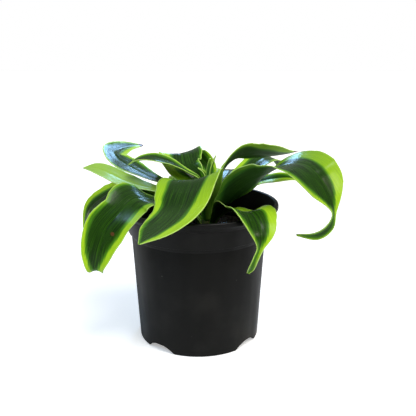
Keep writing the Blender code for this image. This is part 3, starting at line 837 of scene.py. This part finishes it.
def leaf_blade():
    """Geometry Nodes: a blade spread along a midrib's points, with what its finish reads."""
    tree = bpy.data.node_groups.new("Leaf blade", "GeometryNodeTree")
    face = tree.interface
    face.new_socket("Midrib", in_out="INPUT", socket_type="NodeSocketGeometry")
    for name in ("Rings", "Columns"):
        face.new_socket(name, in_out="INPUT", socket_type="NodeSocketInt")
    waves = ("Wave Height", "Wave Count", "Wave Phase")
    for name in (*waves, "Brown", "Spot Share", "Spot Side", "Spot Radius", "Seed"):
        face.new_socket(name, in_out="INPUT", socket_type="NodeSocketFloat")
    face.new_socket("Finish", in_out="INPUT", socket_type="NodeSocketMaterial")
    face.new_socket("Blade", in_out="OUTPUT", socket_type="NodeSocketGeometry")
    values = put(tree, "NodeGroupInput").outputs

    def named(label):
        kind = "GeometryNodeInputNamedAttribute"
        return put(tree, kind, {"Name": label}, data_type="FLOAT_VECTOR").outputs[0]

    def read(field, ring):
        inputs = {"Geometry": values["Midrib"], "Value": field, "Index": ring}
        return put(tree, "GeometryNodeSampleIndex", inputs, data_type="FLOAT_VECTOR").outputs[0]

    def vector(operation, first, second):
        second_name = "Scale" if operation == "SCALE" else 1
        inputs = {0: first, second_name: second}
        return put(tree, "ShaderNodeVectorMath", inputs, operation=operation).outputs[0]

    inputs = {"Size X": 1.0, "Size Y": 2.0}
    inputs["Vertices X"] = calc(tree, "ADD", values["Rings"], 1.0)
    inputs["Vertices Y"] = calc(tree, "ADD", values["Columns"], 1.0)
    grid = put(tree, "GeometryNodeMeshGrid", inputs)
    flat = put(tree, "GeometryNodeInputPosition").outputs[0]
    flat_parts = put(tree, "ShaderNodeSeparateXYZ", {0: flat}).outputs
    share = calc(tree, "ADD", flat_parts["X"], 0.5)
    u = flat_parts["Y"]
    ring = calc(tree, "ROUND", calc(tree, "MULTIPLY", share, values["Rings"]))
    shape = put(tree, "ShaderNodeSeparateXYZ", {0: read(named("shape"), ring)}).outputs
    width, cup, length = shape["X"], shape["Y"], shape["Z"]
    reach = calc(tree, "ABSOLUTE", u)
    is_left = calc(tree, "GREATER_THAN", u, 0.0)
    half = calc(tree, "MULTIPLY", width, 0.5)

    angle = calc(tree, "MULTIPLY", u, cup)
    bend = calc(tree, "DIVIDE", half, cup)
    out = calc(tree, "MULTIPLY", bend, calc(tree, "SINE", angle))
    lift = calc(tree, "MULTIPLY", bend, calc(tree, "SUBTRACT", 1.0, calc(tree, "COSINE", angle)))
    turns = calc(tree, "MULTIPLY", calc(tree, "MULTIPLY", share, values["Wave Count"]), 2 * math.pi)
    lag = calc(tree, "MULTIPLY_ADD", is_left, MARGIN_LAG, values["Wave Phase"])
    wave = calc(tree, "MULTIPLY", calc(tree, "SINE", calc(tree, "ADD", turns, lag)), values["Wave Height"])
    arch = calc(tree, "MAXIMUM", calc(tree, "SINE", calc(tree, "MULTIPLY", share, math.pi)), 0.0)
    fade = calc(tree, "POWER", arch, WAVE_FADE)
    wave = calc(tree, "MULTIPLY", wave, calc(tree, "MULTIPLY", fade, calc(tree, "POWER", reach, WAVE_POWER)))
    half_mm = calc(tree, "DIVIDE", half, MM)
    across_mm = calc(tree, "MULTIPLY", u, half_mm)
    length_mm = calc(tree, "DIVIDE", length, MM)
    along_mm = calc(tree, "MULTIPLY", share, length_mm)
    squared = calc(tree, "POWER", across_mm, 2.0)
    keel_shape = calc(tree, "EXPONENT", calc(tree, "MULTIPLY", squared, KEEL_SHARPNESS))
    keel = calc(tree, "MULTIPLY", calc(tree, "MULTIPLY", keel_shape, fade), -KEEL_DEPTH)
    grain = put(tree, "ShaderNodeCombineXYZ", {"X": across_mm, "Y": along_mm, "Z": values["Seed"]}).outputs[0]
    inputs = {"Vector": vector("MULTIPLY", grain, RIPPLE_GRAIN), "Scale": 1.0, "Detail": 1.0}
    ripple = calc(tree, "SUBTRACT", put(tree, "ShaderNodeTexNoise", inputs).outputs[0], 0.5)
    ripple = calc(tree, "MULTIPLY", ripple, calc(tree, "MULTIPLY", fade, RIPPLE_HEIGHT))
    margin = put(tree, "ShaderNodeCombineXYZ", {"X": is_left, "Y": along_mm, "Z": values["Seed"]}).outputs[0]
    inputs = {"Vector": vector("MULTIPLY", margin, CRINKLE_GRAIN), "Scale": 1.0, "Detail": 2.0}
    crinkle = calc(tree, "SUBTRACT", put(tree, "ShaderNodeTexNoise", inputs).outputs[0], 0.5)
    crinkle = calc(tree, "MULTIPLY", crinkle, calc(tree, "POWER", reach, CRINKLE_POWER))
    crinkle = calc(tree, "MULTIPLY", crinkle, calc(tree, "MULTIPLY", fade, 2.0 * CRINKLE_HEIGHT))
    broad = calc(tree, "MINIMUM", calc(tree, "DIVIDE", half_mm, CRINKLED_HALF_MM), 1.0)
    crinkle = calc(tree, "MULTIPLY", crinkle, calc(tree, "MULTIPLY", broad, broad))
    relief = calc(tree, "ADD", calc(tree, "ADD", lift, wave), calc(tree, "ADD", keel, ripple))
    relief = calc(tree, "ADD", relief, crinkle)
    out = calc(tree, "MULTIPLY_ADD", crinkle, calc(tree, "SIGN", u), out)

    limes = put(tree, "ShaderNodeSeparateXYZ", {0: read(named("limes"), ring)}).outputs
    lime_gap = calc(tree, "SUBTRACT", limes["X"], limes["Y"])
    lime = calc(tree, "MULTIPLY_ADD", is_left, lime_gap, limes["Y"])
    edge = calc(tree, "MULTIPLY", calc(tree, "SUBTRACT", 1.0, reach), half_mm)
    from_tip = calc(tree, "MULTIPLY", calc(tree, "SUBTRACT", 1.0, share), length_mm)
    withered = calc(tree, "SUBTRACT", values["Brown"], from_tip)
    spot_along = calc(tree, "MULTIPLY", values["Spot Share"], length_mm)
    inputs = {"X": values["Spot Side"], "Y": spot_along, "Z": values["Seed"]}
    inputs = {0: grain, 1: put(tree, "ShaderNodeCombineXYZ", inputs).outputs[0]}
    from_spot = put(tree, "ShaderNodeVectorMath", inputs, operation="DISTANCE").outputs["Value"]
    scorched = calc(tree, "SUBTRACT", values["Spot Radius"], from_spot)
    made = grid.outputs["Mesh"]
    for label, field in (("edge", edge), ("lime", lime), ("withered", withered), ("scorched", scorched)):
        inputs = {"Geometry": made, "Name": label, "Value": field}
        made = put(tree, "GeometryNodeStoreNamedAttribute", inputs, data_type="FLOAT").outputs[0]
    inputs = {"Geometry": made, "Name": "grain", "Value": grain}
    made = put(tree, "GeometryNodeStoreNamedAttribute", inputs, data_type="FLOAT_VECTOR").outputs[0]
    sideways = vector("SCALE", read(named("side"), ring), out)
    upwards = vector("SCALE", read(named("up"), ring), relief)
    rib = read(put(tree, "GeometryNodeInputPosition").outputs[0], ring)
    place = vector("ADD", rib, vector("ADD", sideways, upwards))
    spread_out = put(tree, "GeometryNodeSetPosition", {"Geometry": made, "Position": place})
    real = put(tree, "GeometryNodeRealizeInstances", {"Geometry": spread_out.outputs[0]})
    inputs = {"Geometry": real.outputs[0], "Material": values["Finish"]}
    dressed = put(tree, "GeometryNodeSetMaterial", inputs)
    put(tree, "NodeGroupOutput", {"Blade": dressed.outputs[0]})
    return tree


def leaf_variegation():
    """Shared effect: the green band, lime margins, veins, withered tip and painted edge highlight of a leaf.
    """
    tree = bpy.data.node_groups.new("Leaf variegation", "ShaderNodeTree")
    for name in ("Dark", "Green", "Lime", "Painted Edge Highlight"):
        tree.interface.new_socket(name, in_out="INPUT", socket_type="NodeSocketColor")
    tree.interface.new_socket("Colour", in_out="OUTPUT", socket_type="NodeSocketColor")
    for name in ("Veins", "Smudge"):
        tree.interface.new_socket(name, in_out="OUTPUT", socket_type="NodeSocketFloat")
    values = put(tree, "NodeGroupInput").outputs

    def stored(label):
        return put(tree, "ShaderNodeAttribute", attribute_name=label)

    def streaks(scale, detail):
        mapped = put(tree, "ShaderNodeMapping", {"Vector": stored("grain").outputs["Vector"], "Scale": scale})
        inputs = {"Vector": mapped.outputs[0], "Scale": 1.0, "Detail": detail}
        return put(tree, "ShaderNodeTexNoise", inputs).outputs["Fac"]

    edge = stored("edge").outputs["Fac"]
    across = put(tree, "ShaderNodeSeparateXYZ", {0: stored("grain").outputs["Vector"]}).outputs["X"]
    veins = streaks(VEIN_GRAIN, 2.0)
    teeth = streaks(TOOTH_GRAIN, 2.0)
    drift = streaks(DRIFT_GRAIN, 2.0)
    smudge = streaks(SMUDGE_GRAIN, 4.0)
    wander = calc(tree, "MULTIPLY", calc(tree, "SUBTRACT", teeth, 0.5), MARGIN_WANDER)
    wander = calc(tree, "MULTIPLY_ADD", calc(tree, "SUBTRACT", drift, 0.5), MARGIN_WANDER, wander)
    inside = calc(tree, "ADD", calc(tree, "SUBTRACT", edge, stored("lime").outputs["Fac"]), wander)
    band = spread(tree, inside, -1.3, 1.0)
    deep = spread(tree, inside, 0.3, 4.0)
    footward = spread(tree, stored("withered").outputs["Fac"], -125.0, -50.0, 0.5, 0.0)
    dulled = calc(tree, "ADD", footward, spread(tree, veins, 0.3, 0.7, 0.0, 0.3))
    lit_lime = blend_colour(tree, dulled, values["Lime"], values["Green"])
    dark_mix = blend_colour(tree, spread(tree, veins, 0.35, 0.75, 0.0, 0.40), values["Dark"], values["Green"])
    pale_rib = spread(tree, calc(tree, "ABSOLUTE", across), 0.2, 0.8, PALE_RIB, 0.0)
    ribbed = blend_colour(tree, pale_rib, dark_mix, values["Green"])
    green_mix = blend_colour(tree, deep, values["Green"], ribbed)
    body = blend_colour(tree, band, lit_lime, green_mix)
    # Painted highlight: the colour turns pale yellow-green at the thin edge, standing for light shining
    # through the margin.
    edge_lit = blend_colour(tree, spread(tree, edge, 0.15, 0.9, 0.85, 0.0), body, values["Painted Edge Highlight"])
    ragged = calc(tree, "ADD", stored("withered").outputs["Fac"], calc(tree, "MULTIPLY", veins, 3.0))
    dry = spread(tree, ragged, 1.5, 3.0)
    burnt = spread(tree, calc(tree, "MULTIPLY_ADD", smudge, 1.5, stored("scorched").outputs["Fac"]), 0.3, 1.2)
    dead = calc(tree, "MAXIMUM", dry, burnt)
    colour = blend_colour(tree, dead, edge_lit, DEAD_COLOUR)
    put(tree, "NodeGroupOutput", {"Colour": colour, "Veins": veins, "Smudge": smudge})
    return tree


variegation = leaf_variegation()
# Each finish's edge colour is a painted highlight: light shining through the thin margin.
LEAF_FACES = {
    "Leaf face": {
        "Dark": (0.006, 0.022, 0.003),
        "Green": (0.070, 0.23, 0.010),
        "Lime": (0.42, 0.68, 0.020),
        "Painted Edge Highlight": (0.52, 0.75, 0.18),
        "gloss": (0.18, 0.30),
        "shine": 0.16,
        "bump": 0.25,
    },
    "Leaf underside": {
        # Painted light: this dark band is lighter than the underside's own paler tone, standing for light
        # shining through the blade.
        "Dark": (0.016, 0.050, 0.008),
        "Green": (0.05, 0.17, 0.018),
        "Lime": (0.26, 0.50, 0.03),
        "Painted Edge Highlight": (0.50, 0.72, 0.16),
        "gloss": (0.42, 0.58),
        "shine": 0.2,
        "bump": 0.4,
    },
    "Pale leaf face": {
        "Dark": (0.05, 0.12, 0.02),
        "Green": (0.10, 0.26, 0.02),
        "Lime": (0.30, 0.50, 0.06),
        "Painted Edge Highlight": (0.52, 0.75, 0.25),
        "gloss": (0.28, 0.40),
        "shine": 0.22,
        "bump": 0.25,
    },
}
leaf_finishes = {}
for name, look in LEAF_FACES.items():
    finish, tree, shader = new_finish(name)
    pattern = put(tree, "ShaderNodeGroup", node_tree=variegation)
    for label in ("Dark", "Green", "Lime", "Painted Edge Highlight"):
        pattern.inputs[label].default_value = (*look[label], 1.0)
    tree.links.new(pattern.outputs["Colour"], shader.inputs["Base Color"])
    gloss = spread(tree, pattern.outputs["Smudge"], 0.3, 0.7, *look["gloss"])
    tree.links.new(gloss, shader.inputs["Roughness"])
    shader.inputs["Specular IOR Level"].default_value = look["shine"]
    inputs = {"Height": pattern.outputs["Veins"], "Strength": look["bump"], "Distance": VEIN_DEPTH}
    tree.links.new(put(tree, "ShaderNodeBump", inputs).outputs[0], shader.inputs["Normal"])
    leaf_finishes[name] = finish

blade_tree = leaf_blade()


def make_blade(piece, leaf, rings, columns, seed, face="Leaf face"):
    """One finished leaf: its blade grown along the midrib, then thickened."""
    blade = bpy.data.objects.new(piece, midrib(piece, leaf, rings))
    bpy.context.scene.collection.objects.link(blade)
    height, count, phase = leaf.get("waves", NO_WAVES)
    spot_share, spot_side, spot_radius = leaf.get("spot", NO_SPOT)
    inputs = {"Rings": rings, "Columns": columns, "Seed": float(seed), "Finish": leaf_finishes[face]}
    inputs.update({"Wave Height": height * MM, "Wave Count": count, "Wave Phase": phase})
    inputs.update({"Spot Share": spot_share, "Spot Side": spot_side, "Spot Radius": spot_radius})
    inputs["Brown"] = leaf.get("brown", 0.0)
    grown(blade, blade_tree, inputs)
    blade.data.materials.append(leaf_finishes["Leaf underside"])
    blade.data.shade_smooth()
    thick = blade.modifiers.new("Thickness", "SOLIDIFY")
    thick.thickness = THICKNESS
    thick.offset = 0.0
    thick.material_offset = 1
    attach(blade, "root")
    return blade


for seed, (node, leaf) in enumerate(LEAVES.items()):
    pale = node == "leaf_far_left_pale"
    face = "Pale leaf face" if pale else "Leaf face"
    blade = make_blade(node.replace("leaf_", "blade_"), leaf, RINGS, COLUMNS, seed, face)
    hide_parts(node)

# Young leaves
# Three leaves still half rolled stand at the top of the cane, from which they grow.
# Their stations are given as those of the grown leaves are.
YOUNG_LIME = ((0.0, 1.5, 1.5), (1.0, 1.0, 1.0))
YOUNG_RINGS = 48
YOUNG_COLUMNS = 16
FIRST_YOUNG_SEED = 20
YOUNG_LEAVES = {
    "young_leaf_left": {
        "bearing": 165.0,
        "lime": YOUNG_LIME,
        "stations": (
            (1, 0, 150, 6, 0, 60),
            (2.5, 0, 164, 8, 0, 70),
            (6, 0, 174, 8, 0, 70),
            (11, 0, 179, 2, 0, 50),
        ),
    },
    "young_leaf_right": {
        "bearing": 10.0,
        "lime": YOUNG_LIME,
        "stations": (
            (1, 0, 150, 6, 0, 60),
            (2, 0, 166, 8, 0, 75),
            (4, 0, 180, 8, 0, 75),
            (8, 0, 192, 2, 0, 50),
        ),
    },
    "young_leaf_spear": {
        "bearing": -60.0,
        "lime": YOUNG_LIME,
        "stations": (
            (0.6, 0, 150, 6, 0, 60),
            (1.5, 0, 168, 7, 0, 80),
            (2.5, 0, 182, 5, 0, 80),
            (4, 0, 190, 1.6, 0, 60),
        ),
    },
}
for seed, (name, leaf) in enumerate(YOUNG_LEAVES.items(), FIRST_YOUNG_SEED):
    blade = make_blade(name, leaf, YOUNG_RINGS, YOUNG_COLUMNS, seed)
    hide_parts("crown")

# Studio
# A white table under a white sky: a broad sun from the front, a cool window behind the
# plant, another on the left and a warm one on the right, and the camera in front.
TABLE_HALF = 6.0
DARK_PAPER = (0.90, 0.90, 0.90)
PALE_PAPER = (0.94, 0.94, 0.94)
CAMERA_PLACE = (0.0098, -0.603, 0.302)
CAMERA_TILT = math.radians(15.3)
LENS = 52.09
SKY_FRONT = 0.03
SKY_BEHIND = 0.24
SKY_ALOFT = 0.32
SUN_PLACE = (0.30, -0.40, 0.87)
SUN_STRENGTH = 2.3
SUN_SPREAD = math.radians(30.0)
SUN_COLOUR = (1.0, 0.98, 0.95)
LIGHT_AIM = Vector((0.0, 0.0, 0.12))
# Each window: place in metres, power in watts, width in metres, colour.
LIGHTS = {
    "Cool window": ((0.022, 0.35, 0.365), 0.5, 0.08, (0.34, 0.62, 1.0)),
    "Warm window": ((0.77, -0.40, 0.48), 1.1, 0.14, (1.0, 0.92, 0.76)),
    "Left window": ((-0.48, -0.34, 0.63), 1.3, 0.12, (0.45, 0.72, 1.0)),
}
TABLE_GLOW = 0.42

floor_finish, tree, shader = new_finish("White table")
place = put(tree, "ShaderNodeTexCoord").outputs["Object"]
paper = put(tree, "ShaderNodeTexNoise", {"Vector": place, "Scale": 40.0, "Detail": 3.0}).outputs["Fac"]
tree.links.new(blend_colour(tree, paper, DARK_PAPER, PALE_PAPER), shader.inputs["Base Color"])
shader.inputs["Roughness"].default_value = 0.7
shader.inputs["Emission Color"].default_value = (1.0, 1.0, 1.0, 1.0)
seen = put(tree, "ShaderNodeLightPath").outputs["Is Camera Ray"]
tree.links.new(calc(tree, "MULTIPLY", seen, TABLE_GLOW), shader.inputs["Emission Strength"])
floor_mesh = bpy.data.meshes.new("floor")
corners = [(x * TABLE_HALF, y * TABLE_HALF, 0.0) for x, y in ((-1, -1), (1, -1), (1, 1), (-1, 1))]
floor_mesh.from_pydata(corners, [], [(0, 1, 2, 3)])
floor_mesh.materials.append(floor_finish)
floor = bpy.data.objects.new("floor", floor_mesh)
bpy.context.scene.collection.objects.link(floor)

world = bpy.data.worlds.new("White sky")
bpy.context.scene.world = world
world.use_nodes = True
tree = world.node_tree
direction = put(tree, "ShaderNodeTexCoord").outputs["Generated"]
parts = put(tree, "ShaderNodeSeparateXYZ", {0: direction}).outputs
behind = spread(tree, parts["Y"], -0.5, 0.8)
aloft = spread(tree, parts["Z"], -0.1, 1.0)
brightness = calc(tree, "MULTIPLY_ADD", behind, SKY_BEHIND, calc(tree, "MULTIPLY", aloft, SKY_ALOFT))
brightness = calc(tree, "ADD", brightness, SKY_FRONT)
seen = put(tree, "ShaderNodeLightPath").outputs["Is Camera Ray"]
sky = tree.nodes["Background"]
sky.inputs["Color"].default_value = (1.0, 1.0, 1.0, 1.0)
tree.links.new(calc(tree, "MAXIMUM", brightness, seen), sky.inputs["Strength"])

for name, (light_place, power, size, colour) in LIGHTS.items():
    data = bpy.data.lights.new(name, "AREA")
    data.shape = "SQUARE"
    data.size = size
    data.energy = power
    data.color = colour
    light = bpy.data.objects.new(name, data)
    light.visible_camera = False
    light.location = light_place
    light.rotation_euler = (LIGHT_AIM - Vector(light_place)).to_track_quat("-Z", "Y").to_euler()
    bpy.context.scene.collection.objects.link(light)

sun_data = bpy.data.lights.new("Sun", "SUN")
sun_data.energy = SUN_STRENGTH
sun_data.angle = SUN_SPREAD
sun_data.color = SUN_COLOUR
sun = bpy.data.objects.new("Sun", sun_data)
sun.rotation_euler = Vector(SUN_PLACE).to_track_quat("Z", "Y").to_euler()
bpy.context.scene.collection.objects.link(sun)

camera_data = bpy.data.cameras.new("Camera")
camera_data.lens = LENS
camera = bpy.data.objects.new("Camera", camera_data)
camera.location = CAMERA_PLACE
camera.rotation_euler = (math.radians(90.0) - CAMERA_TILT, 0.0, 0.0)
bpy.context.scene.collection.objects.link(camera)
bpy.context.scene.camera = camera
bpy.context.scene.view_settings.view_transform = "Standard"
